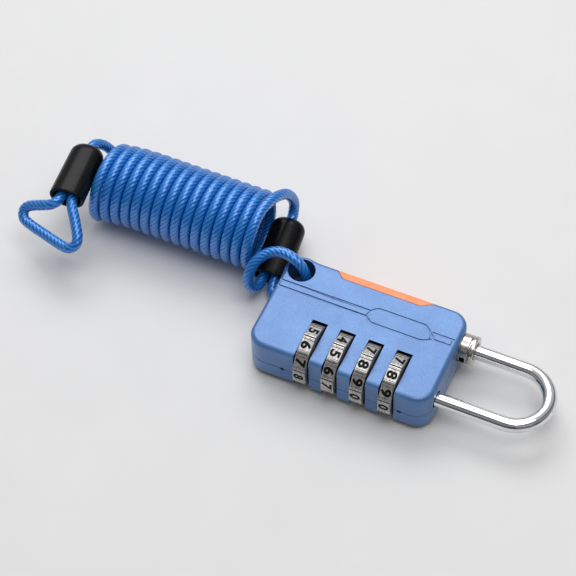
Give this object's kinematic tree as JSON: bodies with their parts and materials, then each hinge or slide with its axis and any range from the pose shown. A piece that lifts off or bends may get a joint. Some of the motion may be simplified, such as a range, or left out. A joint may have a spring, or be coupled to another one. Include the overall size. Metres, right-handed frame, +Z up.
{
  "type": "luggage combination padlock",
  "caption": "Combination padlock for luggage with dials in its edge, a pull-out shackle, and a coiled security cable with crimped end eyes looped through its corner lug.",
  "frame": {"origin": "middle of the lock's own footprint, without the cable, at the level of the dials' lowest points, which is the surface it lies on", "axes": "+X from the casing towards the shackle's bow, -Y towards the long edge with the dials, +Z up out of the casing's front face; the lock lies on its back"},
  "size_m": [0.1569, 0.0518, 0.0227],
  "materials": {
    "casing": "satin metallic blue",
    "inlay": "soft orange",
    "nickel": "polished nickel",
    "shackle": "mirror chrome",
    "steel": "plain bright steel",
    "dial": "worn nickel with filled black digits",
    "sleeve": "turned brass",
    "cable": "clear blue vinyl over twisted steel",
    "ferrule": "moulded black"
  },
  "bodies": {
    "casing": {"front_casing": "casing", "rear_casing": "casing", "side_inlay": "inlay", "toe_collar": "nickel", "casing_pin_1": "steel", "casing_pin_2": "steel", "casing_pin_3": "steel", "casing_pin_4": "steel", "detent_spring_1": "steel", "detent_spring_2": "steel", "detent_spring_3": "steel", "detent_spring_4": "steel", "shackle_spring": "steel", "cable_eye_lock": "cable", "cable_lead_lock": "cable", "cable_coil": "cable", "cable_lead_free": "cable", "cable_eye_free": "cable", "ferrule_lock": "ferrule", "ferrule_free": "ferrule", "crimp_lock": "steel", "crimp_free": "steel"},
    "shackle": {"shackle": "shackle", "locking_spindle": "steel", "spring_seat": "steel"},
    "dial_1": {"dial_ring_1": "dial", "code_sleeve_1": "sleeve"},
    "dial_2": {"dial_ring_2": "dial", "code_sleeve_2": "sleeve"},
    "dial_3": {"dial_ring_3": "dial", "code_sleeve_3": "sleeve"},
    "dial_4": {"dial_ring_4": "dial", "code_sleeve_4": "sleeve"}
  },
  "joints": [
    {"name": "shackle_pull", "type": "slide", "parent": "casing", "child": "shackle", "axis": [1, 0, 0], "range_m": [0, 0.00805]},
    {"name": "dial_1_turn", "type": "hinge", "parent": "casing", "child": "dial_1", "pos_m": [-0.04043, -0.00856, 0.00825], "axis": [1, 0, 0], "continuous": true},
    {"name": "dial_2_turn", "type": "hinge", "parent": "casing", "child": "dial_2", "pos_m": [-0.04043, -0.00856, 0.00825], "axis": [1, 0, 0], "continuous": true},
    {"name": "dial_3_turn", "type": "hinge", "parent": "casing", "child": "dial_3", "pos_m": [-0.04043, -0.00856, 0.00825], "axis": [1, 0, 0], "continuous": true},
    {"name": "dial_4_turn", "type": "hinge", "parent": "casing", "child": "dial_4", "pos_m": [-0.04043, -0.00856, 0.00825], "axis": [1, 0, 0], "continuous": true}
  ]
}
